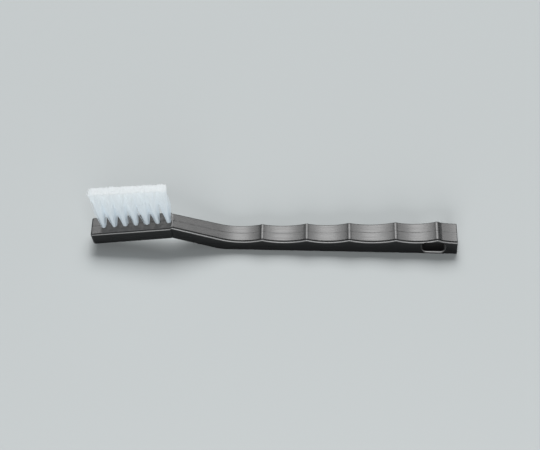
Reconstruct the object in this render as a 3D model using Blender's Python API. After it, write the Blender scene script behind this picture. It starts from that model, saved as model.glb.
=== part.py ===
"""Hand brush: a moulded plastic handle with one row of nylon tufts, each held in its hole by a flat anchor.

Metres, +Z up. +X runs along the brush from the bristles to the hanging slot. The origin is on the flat
underside that the brush lies on, in the middle of that flat.
"""
import math

import bmesh
import bpy
from mathutils import Matrix, Vector

# Handle seen from the side. x counts from the tip of the head or from the far end, and z from the table.
brush_length = 0.178
head_tilt = math.radians(6.9)
head_thickness = 0.0068
bend_from_tip = 0.0385
bend_height = 0.0074
crest_past_bend = 0.0011
crest_from_tip = bend_from_tip + crest_past_bend
neck_fall = math.radians(17.3)
flat_from_tip = 0.0631
flat_bend_radius = 0.020
first_ridge_from_tip = 0.0831
last_ridge_from_end = 0.0100
ridge_shares = (0.0, 0.256, 0.502, 0.768, 1.0)
first_ridge_height = 0.0074
last_ridge_height = 0.0093
ridge_radius = 0.0013
first_scallop_length = 0.0212
scallop_depth = 0.0015
last_scallop_depth = 0.0012
end_height = 0.0086
end_drop_length = 0.0019

# Handle seen from above. The neck's root lies inside the head, just under its face.
head_width = 0.0121
head_end_overhang = 0.0007
head_end_radius = 0.0110
neck_step = 0.0008
neck_width = head_width - 2.0 * neck_step
end_width = 0.0137
neck_root_length = 0.0030
neck_tuck = 0.00015

# Moulded edges and the slant of the tip's face.
tip_draft = math.radians(6.0)
head_fillet = 0.0009
grip_fillet = 0.0010

# Hanging slot through the sides of the grip, between a thin floor and the roof under the end's flat top.
slot_from_end = 0.0112
slot_length = 0.0130
slot_floor = 0.0009
slot_roof = 0.0012
slot_height = end_height - slot_roof - slot_floor

# Clearance between pieces, and how far a cutter runs past what it cuts.
fit_gap = 0.0003
overrun = 0.0020

# Row of tufts. Places along the head are measured on its sloping face, heights square to it.
tuft_count = 7
first_tuft_from_tip = 0.00575
last_tuft_from_crest = 0.00204
tuft_row_length = crest_from_tip / math.cos(head_tilt) - last_tuft_from_crest - first_tuft_from_tip
tuft_pitch = tuft_row_length / (tuft_count - 1)
tuft_radius = 0.00115
hole_depth = 0.0046
bristle_length = 0.0228
flare_height = 0.0095
flare_share = 0.85
trim_tilt = math.radians(3.0)
tip_row_spread = 0.0011
tip_pitch = (tuft_row_length + tip_row_spread) / (tuft_count - 1)
tip_reach_across = 0.0028
strand_cells = 10

# Flat anchor in each tuft. It lies on the fold, and the fold on the floor of the hole.
anchor_thickness = 0.00045
anchor_height = 0.0013
anchor_bite = 0.00045
fold_thickness = 0.00075
anchor_depth = hole_depth - fold_thickness - anchor_height / 2.0 - 2.0 * fit_gap
anchor_skew = math.radians(35.0)
anchor_edge = 0.00008

# How finely round shapes are faceted.
scallop_steps = 16
corner_steps = 4
fillet_steps = 3
hole_sides = 24
slot_steps = 8
head_end_steps = 10
fillet_limit = math.radians(40.0)
smooth_limit = math.radians(30.0)

black_plastic = ("black_plastic", (0.012, 0.012, 0.013), 0.35, 0.0)
white_nylon = ("white_nylon", (0.80, 0.84, 0.86), 0.50, 0.0)
brass = ("brass", (0.72, 0.56, 0.30), 0.35, 1.0)


# Scene, materials and objects


def clear_scene():
    for old in list(bpy.data.objects):
        bpy.data.objects.remove(old, do_unlink=True)


def material(finish):
    name, colour, roughness, metallic = finish
    made = bpy.data.materials.get(name) or bpy.data.materials.new(name)
    made.use_nodes = True
    made.diffuse_color = (*colour, 1.0)
    shader = made.node_tree.nodes["Principled BSDF"]
    shader.inputs["Base Color"].default_value = (*colour, 1.0)
    shader.inputs["Roughness"].default_value = roughness
    shader.inputs["Metallic"].default_value = metallic
    return made


def new_frame(name, location, turn=0.0, parent=None):
    empty = bpy.data.objects.new(name, None)
    empty.location = location
    empty.rotation_euler = (0.0, turn, 0.0)
    empty.parent = parent
    bpy.context.scene.collection.objects.link(empty)
    return empty


def new_object(name, bm, parent, finish=None):
    """A solid with its finish, or a hidden guide for a Boolean where no finish is given."""
    bmesh.ops.recalc_face_normals(bm, faces=bm.faces)
    mesh = bpy.data.meshes.new(name)
    bm.to_mesh(mesh)
    bm.free()
    made = bpy.data.objects.new(name, mesh)
    made.parent = parent
    bpy.context.scene.collection.objects.link(made)
    if finish:
        mesh.materials.append(material(finish))
        mesh.shade_smooth()
        mesh.set_sharp_from_angle(angle=smooth_limit)
    else:
        made.hide_render = True
        made.display_type = "WIRE"
    return made


def add_fillet(piece, radius):
    fillet = piece.modifiers.new("moulded_edges", "BEVEL")
    fillet.width = radius
    fillet.segments = fillet_steps
    fillet.limit_method = "ANGLE"
    fillet.angle_limit = fillet_limit


def add_boolean(piece, guide, operation):
    step = piece.modifiers.new(guide.name, "BOOLEAN")
    step.object = guide
    step.operation = operation
    step.solver = "EXACT"


def round_corner(bm, corner, radius):
    """Turn one corner of a flat outline into an arc of the given radius."""
    before, after = (edge.other_vert(corner).co - corner.co for edge in corner.link_edges)
    reach = radius / math.tan(before.angle(after) / 2.0)
    bmesh.ops.bevel(bm, geom=[corner], offset=reach, segments=corner_steps, profile=0.5, affect="VERTICES")


def pull(bm, lift):
    """Pull the flat outline in bm into a solid, and return the vertices of its far side."""
    pulled = bmesh.ops.extrude_face_region(bm, geom=bm.faces[:])["geom"]
    far = [item for item in pulled if isinstance(item, bmesh.types.BMVert)]
    bmesh.ops.translate(bm, verts=far, vec=lift)
    return far


# Neck and grip: one bar, drawn from the side and tapered in plan


def head_top(x):
    return bend_height + (x - bend_from_tip) * math.tan(head_tilt) + head_thickness / math.cos(head_tilt)


def neck_top(x):
    return head_top(crest_from_tip) - (x - crest_from_tip) * math.tan(neck_fall)


def neck_underside(x):
    return bend_height * (flat_from_tip - x) / (flat_from_tip - bend_from_tip)


def half_width(x):
    share = (x - crest_from_tip) / (brush_length - crest_from_tip)
    return (neck_width + (end_width - neck_width) * share) / 2.0


def ridge_tops():
    first = Vector((first_ridge_from_tip, first_ridge_height))
    last = Vector((brush_length - last_ridge_from_end, last_ridge_height))
    return [first.lerp(last, share) for share in ridge_shares]


def radius_from_tangent(start, end):
    """Radius of the arc that leaves the neck's straight top at start and passes through end."""
    chord = end - start
    return chord.length_squared / (2.0 * chord.dot(Vector((math.sin(neck_fall), math.cos(neck_fall)))))


def radius_from_depth(start, end, depth):
    half = (end - start).length / 2.0
    return (half ** 2 + depth ** 2) / (2.0 * depth)


def hollow(start, end, radius):
    """Points between start and end on an arc of the given radius that sags below them."""
    half = (end - start) / 2.0
    up = Vector((-half.y, half.x)).normalized()
    centre = start + half + up * math.sqrt(radius ** 2 - half.length_squared)
    first = math.atan2(start.y - centre.y, start.x - centre.x)
    sweep = 2.0 * math.asin(half.length / radius)
    for step in range(1, scallop_steps):
        angle = first + sweep * step / scallop_steps
        yield centre + radius * Vector((math.cos(angle), math.sin(angle)))


def bar_outline():
    """Side view of neck and grip from the root inside the head, and the radii of its round corners."""
    root = bend_from_tip - neck_root_length
    tops = ridge_tops()
    neck_end = first_ridge_from_tip - first_scallop_length
    points = [
        Vector((root, head_top(root) - neck_tuck)),
        Vector((crest_from_tip, head_top(crest_from_tip) - neck_tuck)),
        Vector((neck_end, neck_top(neck_end))),
    ]
    radii = {}
    radius = radius_from_tangent(points[-1], tops[0])
    for top, following in zip(tops, tops[1:] + [None]):
        points.extend(hollow(points[-1], top, radius))
        radii[len(points)] = ridge_radius
        points.append(top)
        if following:
            depth = last_scallop_depth if following is tops[-1] else scallop_depth
            radius = radius_from_depth(top, following, depth)
    points.append(Vector((tops[-1].x + end_drop_length, end_height)))
    points.append(Vector((brush_length, end_height)))
    points.append(Vector((brush_length, 0.0)))
    radii[len(points)] = flat_bend_radius
    points.append(Vector((flat_from_tip, 0.0)))
    points.append(Vector((root, neck_underside(root))))
    return points, radii


def build_neck_and_grip(brush_frame):
    points, radii = bar_outline()
    bm = bmesh.new()
    corners = [bm.verts.new((point.x, 0.0, point.y)) for point in points]
    bm.faces.new(corners)
    for index, radius in radii.items():
        round_corner(bm, corners[index], radius)
    far = set(pull(bm, Vector()))
    for vert in bm.verts:
        vert.co.y = half_width(vert.co.x) * (1.0 if vert in far else -1.0)
    bar = new_object("neck_and_grip", bm, brush_frame)
    add_fillet(bar, grip_fillet)
    return bar


# What is cut out of the handle


def tuft_place(index):
    return first_tuft_from_tip + tuft_pitch * index


def build_tuft_holes(head_frame):
    bm = bmesh.new()
    for index in range(tuft_count):
        middle = Vector((tuft_place(index), 0.0, (overrun - hole_depth) / 2.0))
        bmesh.ops.create_cone(
            bm,
            cap_ends=True,
            segments=hole_sides,
            radius1=tuft_radius + fit_gap,
            radius2=tuft_radius + fit_gap,
            depth=hole_depth + overrun,
            matrix=Matrix.Translation(middle),
        )
    return new_object("tuft_holes", bm, head_frame)


def anchor_box(bm, index, clearance):
    """The flat anchor of one tuft, grown by the clearance on every side."""
    length = 2.0 * (tuft_radius + fit_gap + anchor_bite)
    size = Vector((length, anchor_thickness, anchor_height)) + Vector((2.0 * clearance,) * 3)
    place = Matrix.Translation((tuft_place(index), 0.0, -anchor_depth))
    turned = place @ Matrix.Rotation(anchor_skew, 4, "Z") @ Matrix.Diagonal(size).to_4x4()
    bmesh.ops.create_cube(bm, size=1.0, matrix=turned)


def build_anchor_pockets(head_frame):
    bm = bmesh.new()
    for index in range(tuft_count):
        anchor_box(bm, index, fit_gap)
    return new_object("anchor_pockets", bm, head_frame)


def build_hanging_slot(brush_frame):
    radius = slot_height / 2.0
    middle = brush_length - slot_from_end
    bm = bmesh.new()
    corners = []
    for side in (1.0, -1.0):
        for step in range(slot_steps + 1):
            angle = math.pi * (step / slot_steps - 0.5)
            x = middle + side * (slot_length / 2.0 - radius + radius * math.cos(angle))
            z = slot_floor + radius + side * radius * math.sin(angle)
            corners.append(bm.verts.new((x, -(end_width / 2.0 + overrun), z)))
    bm.faces.new(corners)
    pull(bm, Vector((0.0, end_width + 2.0 * overrun, 0.0)))
    return new_object("hanging_slot", bm, brush_frame)


# Handle: the head, joined to the neck and grip as one moulding


def head_plan():
    """The head on its own face: square at the tip, round where the neck leaves it."""
    half = head_width / 2.0
    reach = math.asin(half / head_end_radius)
    centre = (crest_from_tip + head_end_overhang) / math.cos(head_tilt) - head_end_radius
    yield 0.0, half
    yield 0.0, -half
    for step in range(head_end_steps + 1):
        angle = reach * (2.0 * step / head_end_steps - 1.0)
        yield centre + head_end_radius * math.cos(angle), head_end_radius * math.sin(angle)


def build_handle(head_frame, neck_and_grip, cutters):
    bm = bmesh.new()
    bm.faces.new([bm.verts.new((x, y, 0.0)) for x, y in head_plan()])
    for vert in pull(bm, Vector((0.0, 0.0, -head_thickness))):
        if vert.co.x == 0.0:
            vert.co.x = head_thickness * math.tan(tip_draft)
    handle = new_object("handle", bm, head_frame, black_plastic)
    add_fillet(handle, head_fillet)
    add_boolean(handle, neck_and_grip, "UNION")
    for cutter in cutters:
        add_boolean(handle, cutter, "DIFFERENCE")


# Tufts: a round butt that fills the hole, and strands that fan out and then rise to the trimmed face


def build_tuft(index, head_frame, pockets):
    bm = bmesh.new()
    bmesh.ops.create_grid(bm, x_segments=strand_cells, y_segments=strand_cells, size=1.0)
    cells = sorted(bm.faces, key=lambda face: face.calc_center_median().to_tuple(3))
    strands = [cell for place, cell in enumerate(cells) if (place + place // strand_cells) % 2 == 0]
    for vert in bm.verts:
        x, y = vert.co.xy
        vert.co.xy = x * math.sqrt(1.0 - y * y / 2.0), y * math.sqrt(1.0 - x * x / 2.0)
        vert.co.xy *= tuft_radius

    rim = [edge for edge in bm.edges if edge.is_boundary]
    lowered = bmesh.ops.extrude_edge_only(bm, edges=rim)["geom"]
    bottom = [item for item in lowered if isinstance(item, bmesh.types.BMVert)]
    bmesh.ops.translate(bm, verts=bottom, vec=(0.0, 0.0, fit_gap - hole_depth))
    bmesh.ops.edgeloop_fill(bm, edges=[edge for edge in bm.edges if edge.is_boundary])

    row_middle = (tuft_count - 1) / 2.0
    lean = (tip_pitch - tuft_pitch) * (index - row_middle)
    for tip in strands:
        root = tip.calc_center_median()
        spread = Vector((
            root.x * (tip_pitch / 2.0 / tuft_radius - 1.0) + lean,
            root.y * (tip_reach_across / tuft_radius - 1.0),
            0.0,
        ))
        for share, height in ((flare_share, flare_height), (1.0, bristle_length)):
            tip, = bmesh.ops.extrude_discrete_faces(bm, faces=[tip])["faces"]
            shift = root + spread * share - tip.calc_center_median()
            for vert in tip.verts:
                vert.co += shift
                along = tuft_place(index) + vert.co.x - tuft_place(row_middle)
                vert.co.z = height - along * math.tan(trim_tilt)
    tuft = new_object(f"tuft_{index + 1}", bm, head_frame, white_nylon)
    tuft.location.x = tuft_place(index)
    add_boolean(tuft, pockets, "DIFFERENCE")


# Anchors: flat metal strips that hold each folded tuft down


def build_anchor(index, head_frame):
    bm = bmesh.new()
    anchor_box(bm, index, 0.0)
    bmesh.ops.bevel(bm, geom=bm.edges[:], offset=anchor_edge, segments=1, affect="EDGES")
    new_object(f"anchor_{index + 1}", bm, head_frame, brass)


def build_brush():
    clear_scene()
    brush_frame = new_frame("brush_frame", (-(flat_from_tip + brush_length) / 2.0, 0.0, 0.0))
    head_frame = new_frame("head_frame", (0.0, 0.0, head_top(0.0)), turn=-head_tilt, parent=brush_frame)
    pockets = build_anchor_pockets(head_frame)
    cutters = [build_tuft_holes(head_frame), pockets, build_hanging_slot(brush_frame)]
    build_handle(head_frame, build_neck_and_grip(brush_frame), cutters)
    for index in range(tuft_count):
        build_tuft(index, head_frame, pockets)
        build_anchor(index, head_frame)


build_brush()
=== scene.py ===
"""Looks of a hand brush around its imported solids.

A black plastic moulding shaped like a tooth brush, with one row of seven white nylon tufts on its head.
Metres, +Z up. +X runs from the bristles to the hanging slot, and the origin is on the flat underside.
"""
import math
import random

import bmesh
import bpy
from mathutils import Matrix, Vector


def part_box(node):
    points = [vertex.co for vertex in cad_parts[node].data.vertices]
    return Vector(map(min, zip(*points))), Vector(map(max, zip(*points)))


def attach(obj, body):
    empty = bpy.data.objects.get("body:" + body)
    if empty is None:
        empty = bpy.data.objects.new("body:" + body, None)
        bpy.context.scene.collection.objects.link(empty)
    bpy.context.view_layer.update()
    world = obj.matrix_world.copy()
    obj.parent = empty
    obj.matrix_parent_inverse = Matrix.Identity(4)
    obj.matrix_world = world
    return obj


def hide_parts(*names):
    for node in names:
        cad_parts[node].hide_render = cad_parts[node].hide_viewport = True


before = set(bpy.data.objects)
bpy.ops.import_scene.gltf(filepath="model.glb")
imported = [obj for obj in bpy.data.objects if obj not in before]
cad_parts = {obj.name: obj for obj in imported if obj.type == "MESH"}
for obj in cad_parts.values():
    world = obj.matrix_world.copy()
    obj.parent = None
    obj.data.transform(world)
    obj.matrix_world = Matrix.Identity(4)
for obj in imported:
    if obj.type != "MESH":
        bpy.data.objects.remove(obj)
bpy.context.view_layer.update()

# Camera: a long lens about one metre off, looking 45 degrees down on the brush's long side.
lens = bpy.data.cameras.new("photo_view")
lens.lens = 133.3
lens.sensor_width = 36.0
lens.clip_start = 0.05
camera = bpy.data.objects.new("photo_view", lens)
camera.location = (-0.02226, -0.6901, 0.7020)
camera.rotation_euler = (math.radians(45.0), 0.0, math.radians(0.95))
bpy.context.scene.collection.objects.link(camera)
bpy.context.scene.camera = camera
bpy.context.scene.view_settings.view_transform = "Standard"


# Light: two soft boxes behind and above, the second much wider than the first, a low one in front, and an
# even pale room around them.
def add_soft_box(name, azimuth, elevation, distance, width, height, radiance):
    """A rectangular lamp that faces the brush. Azimuth is counted clockwise, from straight behind."""
    light = bpy.data.lights.new(name, "AREA")
    light.shape = "RECTANGLE"
    light.size = width
    light.size_y = height
    light.energy = radiance * math.pi * width * height
    lamp = bpy.data.objects.new(name, light)
    turn = math.radians(azimuth)
    rise = math.radians(elevation)
    away = Vector((math.cos(rise) * math.sin(turn), math.cos(rise) * math.cos(turn), math.sin(rise)))
    lamp.location = away * distance
    lamp.rotation_euler = away.to_track_quat("Z", "Y").to_euler()
    lamp.visible_camera = False
    bpy.context.scene.collection.objects.link(lamp)


add_soft_box(
    "back_soft_box",
    azimuth=-1.0,
    elevation=46.0,
    distance=4.0,
    width=1.24,
    height=2.80,
    radiance=6.3,
)
add_soft_box(
    "wide_soft_box",
    azimuth=4.0,
    elevation=46.0,
    distance=4.2,
    width=3.85,
    height=2.80,
    radiance=4.3,
)
add_soft_box(
    "front_soft_box",
    azimuth=180.0,
    elevation=15.0,
    distance=1.2,
    width=0.62,
    height=0.50,
    radiance=13.0,
)

room = bpy.data.worlds.new("pale_room")
room.use_nodes = True
room.node_tree.nodes["Background"].inputs["Color"].default_value = (0.13, 0.142, 0.146, 1.0)
bpy.context.scene.world = room

# Floor: a plain pale sheet that runs out of sight.
floor_reach = 4.0
floor_grey = (0.505, 0.530, 0.534)


def new_object(name, bm):
    """An object at the origin that takes over a bmesh."""
    mesh = bpy.data.meshes.new(name)
    bm.to_mesh(mesh)
    bm.free()
    made = bpy.data.objects.new(name, mesh)
    bpy.context.scene.collection.objects.link(made)
    return made


class Shade:
    """A socket of a material. Arithmetic on it adds the Math nodes that work it out."""

    def __init__(self, tree, socket=None):
        self.tree = tree
        self.socket = socket

    def node(self, kind, settings, sockets, output=0):
        """Add a node of the given type, with its settings first and then its sockets' values or links."""
        made = self.tree.nodes.new("ShaderNode" + kind)
        for name, value in settings.items():
            setattr(made, name, value)
        for name, value in sockets.items():
            if isinstance(value, Shade):
                self.tree.links.new(value.socket, made.inputs[name])
            else:
                made.inputs[name].default_value = value
        return Shade(self.tree, made.outputs[output])

    def maths(self, operation, *values):
        return self.node("Math", {"operation": operation}, dict(enumerate(values)))

    def __add__(self, other):
        return self.maths("ADD", self, other)

    def __radd__(self, other):
        return self.maths("ADD", other, self)

    def __sub__(self, other):
        return self.maths("SUBTRACT", self, other)

    def __mul__(self, other):
        return self.maths("MULTIPLY", self, other)

    def __rmul__(self, other):
        return self.maths("MULTIPLY", other, self)

    def __abs__(self):
        return self.maths("ABSOLUTE", self)

    def part(self, axis):
        """One coordinate of a vector."""
        return self.node("SeparateXYZ", {}, {"Vector": self}, axis)

    def ramp(self, start, end, first=0.0, last=1.0):
        """Go from the first value to the last while this one goes from start to end, and stay there."""
        limits = {"From Min": start, "From Max": end, "To Min": first, "To Max": last}
        return self.node("MapRange", {}, {"Value": self, **limits})

    def blend(self, start, end):
        """A colour that is the start where this value is 0 and the end where it is 1."""
        start, end = (colour if isinstance(colour, Shade) else (*colour, 1.0) for colour in (start, end))
        return self.node("Mix", {"data_type": "RGBA"}, {0: self, 6: start, 7: end}, 2)

    def feed(self, shader, name):
        """Link this value to a socket of the surface shader."""
        self.tree.links.new(self.socket, shader.inputs[name])


def new_material(name, colour, roughness):
    """Make a material, and return it with its surface shader and a Shade that adds nodes to it.

    The colour and the roughness are only a start where nodes are fed to them.
    """
    made = bpy.data.materials.new(name)
    made.use_nodes = True
    shader = made.node_tree.nodes["Principled BSDF"]
    shader.inputs["Base Color"].default_value = (*colour, 1.0)
    shader.inputs["Roughness"].default_value = roughness
    return made, shader, Shade(made.node_tree)


floor_paint, floor_shader, _ = new_material("floor_paint", floor_grey, roughness=0.90)
floor_shader.inputs["Specular IOR Level"].default_value = 0.0

floor_mesh = bmesh.new()
bmesh.ops.create_grid(floor_mesh, x_segments=1, y_segments=1, size=floor_reach)
floor = new_object("floor", floor_mesh)
floor.data.materials.append(floor_paint)

# Handle: head, neck, scalloped grip and hanging slot in one injection moulding of black plastic. The bar of
# neck and grip is drawn from the side, given its width, joined to the head's block, and then cut by the
# holes and the slot. While they are drawn, x counts from the tip of the head.
brush_length = 0.178
tip = Vector((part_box("handle")[1].x - brush_length, 0.0, 0.0))
head_tilt = math.radians(6.9)
head_thickness = 0.0068
bend_from_tip = 0.0385
bend_height = 0.0074
crest_from_tip = 0.0396
neck_fall = math.radians(17.3)
flat_from_tip = 0.0631
flat_bend_radius = 0.020
first_ridge = Vector((0.0831, 0.0, 0.0074))
last_ridge = Vector((0.1685, 0.0, 0.0096))
ridge_shares = (0.0, 0.2545, 0.499, 0.7635, 1.0)
ridges = [first_ridge.lerp(last_ridge, share) for share in ridge_shares]
ridge_radius = 0.0019
ridge_flank = Vector((0.0012, 0.0, -0.00046))
first_scallop_length = 0.0212
scallop_depths = (0.00108, 0.00108, 0.00112, 0.00110)
end_from_tip = 0.17845
end_drop = Vector((0.0022, 0.0, -0.00085))
end_height = 0.0080
end_radius = 0.050
neck_width = 0.0105
end_width = 0.0137
neck_root_length = 0.0030
neck_tuck = 0.00015
grip_fillet = 0.00115
foot_fillet = 0.0004
head_start = -0.0008
head_width = 0.0121
head_end_overhang = 0.0007
head_end_radius = 0.0110
tip_draft = math.radians(6.0)
head_fillet = 0.0009
overrun = 0.0020
hollow_steps = 16
head_end_steps = 7
fillet_steps = 5
fillet_angle = math.radians(40.0)
crease_angle = math.radians(32.0)
facing_up_share = 0.5


def head_top(x):
    return bend_height + (x - bend_from_tip) * math.tan(head_tilt) + head_thickness / math.cos(head_tilt)


def half_width(x):
    share = (x - crest_from_tip) / (end_from_tip - crest_from_tip)
    return (neck_width + (end_width - neck_width) * share) / 2.0


def draw_line(bm, start, end):
    """Draw on from a point of an outline, and return the new point."""
    point = bm.verts.new(end)
    bm.edges.new((start, point))
    return point


def draw_arc(bm, start, centre, axis, sweep, steps):
    """Swing a point of an outline round a centre, and return the point where it ends."""
    swung = bmesh.ops.spin(
        bm,
        geom=[start],
        cent=centre,
        axis=axis,
        dvec=(0.0, 0.0, 0.0),
        angle=sweep,
        steps=steps,
        use_duplicate=False,
    )
    return next(item for item in swung["geom_last"] if isinstance(item, bmesh.types.BMVert))


def draw_hollow(bm, start, end, radius):
    """Draw an arc of the given radius that sags between two points of the side view."""
    half = (end - start.co) / 2.0
    up = Vector((-half.z, 0.0, half.x)).normalized()
    centre = start.co + half + up * math.sqrt(radius ** 2 - half.length_squared)
    sweep = -2.0 * math.asin(half.length / radius)
    return draw_arc(bm, start, centre, (0.0, 1.0, 0.0), sweep, hollow_steps)


def bevel(bm, geom, offset, affect):
    bmesh.ops.bevel(
        bm,
        geom=geom,
        offset=offset,
        segments=fillet_steps,
        profile=0.5,
        affect=affect,
        clamp_overlap=True,
        material=-1,
    )


def round_corner(bm, corner, radius):
    """Turn one corner of a flat outline into an arc of the given radius."""
    before, after = (edge.other_vert(corner).co - corner.co for edge in corner.link_edges)
    bevel(bm, [corner], radius / math.tan(before.angle(after) / 2.0), "VERTICES")


def pull(bm, lift):
    """Close a flat outline, pull it into a solid, and return the points of its far side."""
    bmesh.ops.contextual_create(bm, geom=bm.edges[:])
    pulled = bmesh.ops.extrude_face_region(bm, geom=bm.faces[:])["geom"]
    far = {item for item in pulled if isinstance(item, bmesh.types.BMVert)}
    bmesh.ops.translate(bm, verts=list(far), vec=lift)
    return far


def sharp_edges(bm):
    return [edge for edge in bm.edges if edge.calc_face_angle() > fillet_angle]


def neck_and_grip():
    """The bar of neck and grip, drawn from the side, pulled to its width and rounded along its edges."""
    bm = bmesh.new()
    root = bend_from_tip - neck_root_length
    crest = Vector((crest_from_tip, 0.0, head_top(crest_from_tip)))
    tuck = Vector((0.0, 0.0, neck_tuck))
    neck_length = first_ridge.x - first_scallop_length - crest.x
    neck_end = crest + Vector((neck_length, 0.0, -neck_length * math.tan(neck_fall)))
    first = bm.verts.new((root, 0.0, head_top(root) - neck_tuck))
    point = draw_line(bm, first, crest - tuck)
    point = draw_line(bm, point, neck_end)

    # The first scallop sets off along the fall of the neck, and that gives its radius.
    back_flank = Vector((-ridge_flank.x, 0.0, ridge_flank.z))
    chord = first_ridge + back_flank - neck_end
    across = chord.dot(Vector((math.sin(neck_fall), 0.0, math.cos(neck_fall))))
    point = draw_hollow(bm, point, first_ridge + back_flank, chord.length_squared / (2.0 * across))
    point = draw_line(bm, point, first_ridge)
    corners = [point]
    for before, after, depth in zip(ridges, ridges[1:], scallop_depths):
        point = draw_line(bm, point, before + ridge_flank)
        half = (after + back_flank - point.co).length / 2.0
        point = draw_hollow(bm, point, after + back_flank, (half ** 2 + depth ** 2) / (2.0 * depth))
        point = draw_line(bm, point, after)
        corners.append(point)

    point = draw_line(bm, point, last_ridge + end_drop)
    point = draw_hollow(bm, point, Vector((end_from_tip, 0.0, end_height)), end_radius)
    point = draw_line(bm, point, (end_from_tip, 0.0, 0.0))
    flat_start = draw_line(bm, point, (flat_from_tip, 0.0, 0.0))
    rise = bend_height / (flat_from_tip - bend_from_tip)
    point = draw_line(bm, flat_start, (root, 0.0, rise * (flat_from_tip - root)))
    bm.edges.new((point, first))
    for corner in corners:
        round_corner(bm, corner, ridge_radius)
    round_corner(bm, flat_start, flat_bend_radius)

    far = pull(bm, Vector())
    for vert in bm.verts:
        vert.co.y = half_width(vert.co.x) * (1.0 if vert in far else -1.0)
    bmesh.ops.recalc_face_normals(bm, faces=bm.faces)
    along = [edge for edge in sharp_edges(bm) if edge.verts[0].co.y * edge.verts[1].co.y > 0.0]
    along = [edge for edge in along if max(face.normal.z for face in edge.link_faces) > facing_up_share]
    bevel(bm, along, grip_fillet, "EDGES")
    bevel(bm, sharp_edges(bm), foot_fillet, "EDGES")
    bmesh.ops.translate(bm, verts=bm.verts, vec=tip)
    return new_object("neck_and_grip", bm)


head_corner = tip + Vector((0.0, 0.0, head_top(0.0)))
head_place = Matrix.Translation(head_corner) @ Matrix.Rotation(-head_tilt, 4, "Y")


def head_block():
    """The head, drawn flat from above, pulled to its thickness, rounded, and then tilted into place."""
    bm = bmesh.new()
    half = head_width / 2.0
    reach = math.asin(half / head_end_radius)
    centre = (crest_from_tip + head_end_overhang) / math.cos(head_tilt) - head_end_radius
    first = bm.verts.new((head_start, -half, 0.0))
    point = draw_line(bm, first, (centre + head_end_radius * math.cos(reach), -half, 0.0))
    point = draw_arc(bm, point, (centre, 0.0, 0.0), (0.0, 0.0, 1.0), 2.0 * reach, head_end_steps)
    point = draw_line(bm, point, (head_start, half, 0.0))
    bm.edges.new((point, first))
    for vert in pull(bm, Vector((0.0, 0.0, -head_thickness))):
        if vert.co.x < 0.0:
            vert.co.x += head_thickness * math.tan(tip_draft)
    bmesh.ops.recalc_face_normals(bm, faces=bm.faces)
    bevel(bm, sharp_edges(bm), head_fillet, "EDGES")
    bmesh.ops.transform(bm, matrix=head_place, verts=bm.verts)
    return new_object("handle_moulding", bm)


# The holes are drilled square to the head's face. The slot runs through the grip from side to side, and its
# lower lip is rounded at both mouths.
tuft_count = 7
first_tuft_from_tip = 0.00575
tuft_pitch = 0.00535
row_offset = -0.0004
hole_depth = 0.0046
hole_radius = 0.0013
hole_sides = 40
slot_from_end = 0.0112
slot_length = 0.0128
slot_height = 0.0058
slot_floor = 0.00175
slot_middle = Vector((brush_length - slot_from_end, 0.0, slot_floor + slot_height / 2.0))
slot_end_steps = 20
lip_depth = 0.0012
lip_drop = 0.0012
lip_power = 6
lip_steps = 6
lip_proud = 0.00002


def tuft_holes():
    bm = bmesh.new()
    for index in range(tuft_count):
        row_x = first_tuft_from_tip + tuft_pitch * index
        middle = Vector((row_x, row_offset, (overrun - hole_depth) / 2.0))
        bmesh.ops.create_cone(
            bm,
            cap_ends=True,
            segments=hole_sides,
            radius1=hole_radius,
            radius2=hole_radius,
            depth=hole_depth + overrun,
            matrix=head_place @ Matrix.Translation(middle),
        )
    return new_object("tuft_holes", bm)


def hanging_slot():
    """What the slot takes away, drawn from the side. Its mouths grow in steps that round the lower lip."""
    bm = bmesh.new()
    radius = slot_height / 2.0
    reach = Vector((slot_length / 2.0 - radius, 0.0, 0.0))
    drop = Vector((0.0, 0.0, radius))
    first = bm.verts.new(slot_middle + reach - drop)
    point = draw_arc(bm, first, slot_middle + reach, (0.0, 1.0, 0.0), -math.pi, slot_end_steps)
    point = draw_line(bm, point, slot_middle - reach + drop)
    point = draw_arc(bm, point, slot_middle - reach, (0.0, 1.0, 0.0), -math.pi, slot_end_steps)
    bm.edges.new((point, first))

    far = pull(bm, Vector())
    for vert in bm.verts:
        vert.co.y = (half_width(vert.co.x) - lip_depth) * (1.0 if vert in far else -1.0)
    bmesh.ops.recalc_face_normals(bm, faces=bm.faces)
    mouths = [face for face in bm.faces if len(face.verts) > 4]
    for step in range(lip_steps):
        before = math.pi / 2.0 * step / lip_steps
        after = math.pi / 2.0 * (step + 1) / lip_steps
        lower = lip_drop * (math.cos(before) - math.cos(after))
        nearer = lip_depth * (math.sin(after) - math.sin(before)) + lip_proud / lip_steps
        bmesh.ops.inset_individual(bm, faces=mouths, thickness=0.0, depth=nearer)
        for vert in {vert for face in mouths for vert in face.verts}:
            low_share = min(max((slot_middle.z - vert.co.z) / radius, 0.0), 1.0)
            vert.co.z -= lower * low_share ** lip_power
    bmesh.ops.inset_individual(bm, faces=mouths, thickness=0.0, depth=overrun)
    bmesh.ops.translate(bm, verts=bm.verts, vec=tip)
    return new_object("hanging_slot", bm)


def join_and_cut(piece, joined, cutters):
    """Join a piece and cut it with Booleans, keep the result as its mesh, and take away what shaped it."""
    for guide in (joined, *cutters):
        step = piece.modifiers.new(guide.name, "BOOLEAN")
        step.object = guide
        step.operation = "UNION" if guide == joined else "DIFFERENCE"
        step.solver = "EXACT"
    depsgraph = bpy.context.evaluated_depsgraph_get()
    result = bpy.data.meshes.new_from_object(piece.evaluated_get(depsgraph))
    piece.modifiers.clear()
    piece.data = result
    for guide in (joined, *cutters):
        bpy.data.objects.remove(guide, do_unlink=True)


handle = head_block()
join_and_cut(handle, neck_and_grip(), [tuft_holes(), hanging_slot()])
handle.data.shade_smooth()
handle.data.set_sharp_from_angle(angle=crease_angle)
even_faces = handle.modifiers.new("even_faces", "WEIGHTED_NORMAL")
even_faces.keep_sharp = True

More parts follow.
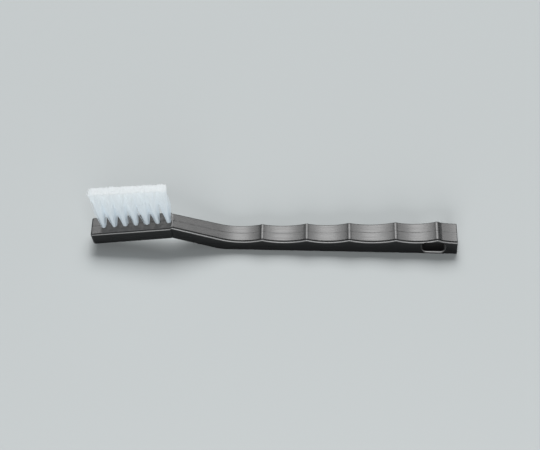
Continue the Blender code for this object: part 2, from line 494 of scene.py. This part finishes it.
# The finish is a satin black that polishing of the mould left finely drawn along the brush, with a faint
# line along the middle of its top where the strokes meet. Its sloping edges are painted paler grey as a
# painted highlight, the face between the tufts is duller, and the inside of the slot is matt.
deep_black = (0.0025, 0.0027, 0.0030)
# Painted highlight: the paler grey that the sloping edges are painted with.
edge_highlight_grey = (0.160, 0.162, 0.162)
off_side_shares = (0.15, 0.40)
off_top_shares = (0.84, 0.60)
streak_stretch = (45.0, 1500.0, 1500.0)
grain_stretch = (3200.0, 3200.0, 3200.0)
mottle_stretch = (650.0, 650.0, 650.0)
line_reach = 0.00028
matt_reach = (0.0066, 0.0056, 0.00298)
matt_edge_share = 0.01
drilled_from_tip = Vector((0.0212, 0.0, 0.0120))
drilled_reach = (0.0176, 0.0058, 0.0090)
drilled_edge_share = 0.12
plain_roughness = 0.19
streak_roughness = 0.22
line_roughness = 0.40
matt_roughness = 0.50
grain_share = 0.5
line_share = 1.5
relief_strength = 0.45
relief_depth = 0.00003


def noise(place, stretch, detail=2.0):
    """Noise on the object's own coordinates. Stretch gives its grains per metre along x, y and z."""
    spread = place.node("Mapping", {}, {"Vector": place, "Scale": stretch})
    return place.node("TexNoise", {}, {"Vector": spread, "Scale": 1.0, "Detail": detail})


def inside(place, middle, reach, edge_share):
    """1 inside a box, given by its middle and its half sizes, and 0 outside it, with a soft edge."""
    off = place.node("VectorMath", {"operation": "SUBTRACT"}, {0: place, 1: middle})
    off = place.node("VectorMath", {"operation": "DIVIDE"}, {0: off, 1: reach})
    off = place.node("VectorMath", {"operation": "ABSOLUTE"}, {0: off})
    furthest = place.maths("MAXIMUM", off.part("X"), off.part("Y"))
    furthest = place.maths("MAXIMUM", furthest, off.part("Z"))
    return furthest.ramp(1.0 - edge_share, 1.0, 1.0, 0.0)


black_plastic, plastic_shader, shade = new_material("satin_black_plastic", deep_black, roughness=0.34)
plastic_shader.inputs["Specular IOR Level"].default_value = 0.43
place = shade.node("TexCoord", {}, {}, "Object")
upwards = shade.node("TexCoord", {}, {}, "Normal").part("Z")
# Painted highlight: faces that slope between the top and the sides are painted paler grey.
painted_edge_highlight = upwards.ramp(*off_side_shares) * upwards.ramp(*off_top_shares)
painted_edge_highlight.blend(deep_black, edge_highlight_grey).feed(plastic_shader, "Base Color")

streaks = noise(place, streak_stretch)
grain = noise(place, grain_stretch, 1.0)
middle_line = abs(place.part("Y")).ramp(0.0, line_reach, 1.0, 0.0)
in_slot = inside(place, tip + slot_middle, matt_reach, matt_edge_share)
drilled = inside(place, tip + drilled_from_tip, drilled_reach, drilled_edge_share)
mottle = noise(place, mottle_stretch)
roughness = plain_roughness + streak_roughness * streaks + line_roughness * middle_line * streaks
roughness = roughness + matt_roughness * in_slot + matt_roughness * drilled * mottle
roughness.feed(plastic_shader, "Roughness")
relief = streaks + grain_share * grain - line_share * middle_line
bump = place.node("Bump", {}, {"Height": relief, "Strength": relief_strength, "Distance": relief_depth})
bump.feed(plastic_shader, "Normal")

handle.data.materials.append(black_plastic)
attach(handle, "root")
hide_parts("handle")

# Tufts: fine white nylon filaments, folded in two and driven into the holes. They splay as they leave the
# hole, mostly towards the tip and a few of them astray, and run on nearly parallel to the trimmed face.
# Nylon lets light through, so they cast no shadow. Painted shade makes them darker and bluer towards the
# roots, and grey where tufts shade each other.
bristle_length = 0.0226
butt_depth = 0.0030
butt_half_pitch = 0.00070
butt_half_depth = 0.00122
filament_radius = 0.00013
filament_sides = 5
filament_bends = 6
filament_crease = math.radians(75.0)
filaments_across = 32
trim_tilt = math.radians(1.6)
tip_half_pitch = 0.0033
tip_half_depth = 0.0021
tip_lean = -0.0005
splay_half_pitch = 0.0011
splay_half_depth = 0.0021
splay_lean = -0.0006
even_share = 0.55
side_share = 0.45
first_bend_share = 0.50
first_side_share = 0.93
last_side_share = 0.65
loose_root = 0.00004
loose_bend = 0.00080
stray_bend = 0.0022
stray_share = 0.07
loose_tip = 0.00030
loose_length = 0.00025

# A filament's tone runs from 0 at its root to 1 at its cut end, and falls below 0 where it is shaded.
nylon_start = (0.82, 0.87, 0.90)
# Painted shade: the darker, bluer colour of the filaments towards their roots.
painted_root_shade = (0.498, 0.561, 0.610)
pale = (0.665, 0.695, 0.705)
shaded_grey = (0.150, 0.170, 0.185)
cut_white = (0.590, 0.610, 0.620)
side_tone = 0.80
cut_tone = 0.20
cut_power = 60
cut_from_tone = 0.86
loose_tone = 0.06
shaded_tone = 0.90
shaded_tones = (0.10, -0.50)
shaded_middle_share = 0.26
shaded_reach_share = 0.20
root_roughness = 0.34
tone_roughness = 0.12

white_nylon, nylon_shader, shade = new_material("white_nylon_filament", nylon_start, roughness=0.40)
nylon_shader.inputs["IOR"].default_value = 1.53
tone = shade.node("Attribute", {"attribute_name": "tone"}, {}, "Fac")
# The sides carry painted shade, darker and bluer towards the roots and grey where tufts shade each other.
side_with_painted_shade = tone.ramp(*shaded_tones).blend(tone.blend(painted_root_shade, pale), shaded_grey)
tone.ramp(cut_from_tone, 1.0).blend(side_with_painted_shade, cut_white).feed(nylon_shader, "Base Color")
(root_roughness + tone_roughness * tone).feed(nylon_shader, "Roughness")


def straight_filament():
    """One filament as a round rod one unit long, with its rings evenly spaced."""
    bm = bmesh.new()
    bmesh.ops.create_cone(
        bm,
        cap_ends=True,
        segments=filament_sides,
        radius1=filament_radius,
        radius2=filament_radius,
        depth=1.0,
        matrix=Matrix.Translation((0.0, 0.0, 0.5)),
    )
    upright = [edge for edge in bm.edges if abs(edge.verts[0].co.z - edge.verts[1].co.z) > 0.5]
    bmesh.ops.subdivide_edges(bm, edges=upright, cuts=filament_bends)
    mesh = bpy.data.meshes.new("filament")
    bm.to_mesh(mesh)
    bm.free()
    return mesh


def filament_places():
    """An even grid of places over the square from -1 to 1."""
    bm = bmesh.new()
    bmesh.ops.create_grid(bm, x_segments=filaments_across, y_segments=filaments_across, size=1.0)
    places = [face.calc_center_median() for face in bm.faces]
    bm.free()
    return places


def filament_course(index, spot, chance):
    """How far to the side of its tuft a filament stands, and where its root, bend and cut end are."""
    cell = 1.0 / filaments_across
    u = spot.x + chance.uniform(-cell, cell)
    v = spot.y + chance.uniform(-cell, cell)
    disc = Vector((u * math.sqrt(1.0 - min(v * v, 1.0) / 2.0), v * math.sqrt(1.0 - min(u * u, 1.0) / 2.0)))
    root = Vector((disc.x * butt_half_pitch, disc.y * butt_half_depth + row_offset))
    root += Vector((chance.gauss(0.0, loose_root), chance.gauss(0.0, loose_root)))
    u *= even_share + side_share * abs(u)
    bend = Vector((u * splay_half_pitch + splay_lean, v * splay_half_depth + row_offset))
    bend.x += chance.gauss(0.0, stray_bend if chance.random() < stray_share else loose_bend)
    end = Vector((u * tip_half_pitch + tip_lean, v * tip_half_depth))
    if index == 0 and u < 0.0:
        bend.x *= first_bend_share
        end.x = tip_lean - u * u * tip_half_pitch * first_side_share
    if index == tuft_count - 1 and u > 0.0:
        bend.x *= last_side_share
        end.x *= last_side_share
    end += Vector((chance.gauss(0.0, loose_tip), chance.gauss(0.0, loose_tip)))
    return u, root, bend, end


def bristles(index, filament):
    """All the filaments of one tuft, with their rings closer together towards the trimmed face."""
    chance = random.Random(index)
    row_x = first_tuft_from_tip + tuft_pitch * index
    row_middle = first_tuft_from_tip + tuft_pitch * (tuft_count - 1) / 2.0
    slope = -math.tan(trim_tilt)
    bm = bmesh.new()
    tone_layer = bm.verts.layers.float.new("tone")
    for spot in filament_places():
        u, root, bend, end = filament_course(index, spot, chance)
        length = bristle_length + chance.gauss(0.0, loose_length)
        tone_here = chance.uniform(-loose_tone, loose_tone)
        made = len(bm.verts)
        bm.from_mesh(filament)
        bm.verts.ensure_lookup_table()
        for vert in bm.verts[made:]:
            height = -butt_depth + (1.0 - (1.0 - vert.co.z) ** 2) * (length + butt_depth)
            share = max(height, 0.0) / length
            drift = root.lerp(bend, share).lerp(bend.lerp(end, share), share)
            vert.co.x += drift.x
            vert.co.y += drift.y
            along = row_x + vert.co.x - row_middle
            vert.co.z = height + slope * along * share
            vert.co.x += row_x
            shaded = max(0.0, 1.0 - abs(share - shaded_middle_share) / shaded_reach_share)
            own_tone = side_tone * share + cut_tone * share ** cut_power + tone_here
            vert[tone_layer] = own_tone - shaded_tone * shaded * u * u
    bmesh.ops.transform(bm, matrix=head_place, verts=bm.verts)
    return new_object(f"bristles_{index + 1}", bm)


filament = straight_filament()
for index in range(tuft_count):
    tuft = bristles(index, filament)
    tuft.visible_shadow = False
    tuft.data.shade_smooth()
    tuft.data.set_sharp_from_angle(angle=filament_crease)
    tuft.data.materials.append(white_nylon)
    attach(tuft, "root")
    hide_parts(f"tuft_{index + 1}")
bpy.data.meshes.remove(filament)

# Anchors: short pieces of flat brass wire, punched across the fold of each tuft so that their ends bite
# into the wall of the hole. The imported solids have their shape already, and take a drawn brass finish.
brass_start = (0.72, 0.56, 0.30)
bright_brass = (0.78, 0.62, 0.34)
dull_brass = (0.60, 0.45, 0.22)
drawn_stretch = (2500.0, 2500.0, 9000.0)
bright_roughness = 0.26
drawn_roughness = 0.20
drawn_strength = 0.3
drawn_depth = 0.00001

drawn_brass, brass_shader, shade = new_material("drawn_brass", brass_start, roughness=0.35)
brass_shader.inputs["Metallic"].default_value = 1.0
drawn = noise(shade.node("TexCoord", {}, {}, "Object"), drawn_stretch)
drawn.blend(bright_brass, dull_brass).feed(brass_shader, "Base Color")
(bright_roughness + drawn_roughness * drawn).feed(brass_shader, "Roughness")
bump = drawn.node("Bump", {}, {"Height": drawn, "Strength": drawn_strength, "Distance": drawn_depth})
bump.feed(brass_shader, "Normal")

for index in range(tuft_count):
    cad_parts[f"anchor_{index + 1}"].material_slots[0].material = drawn_brass
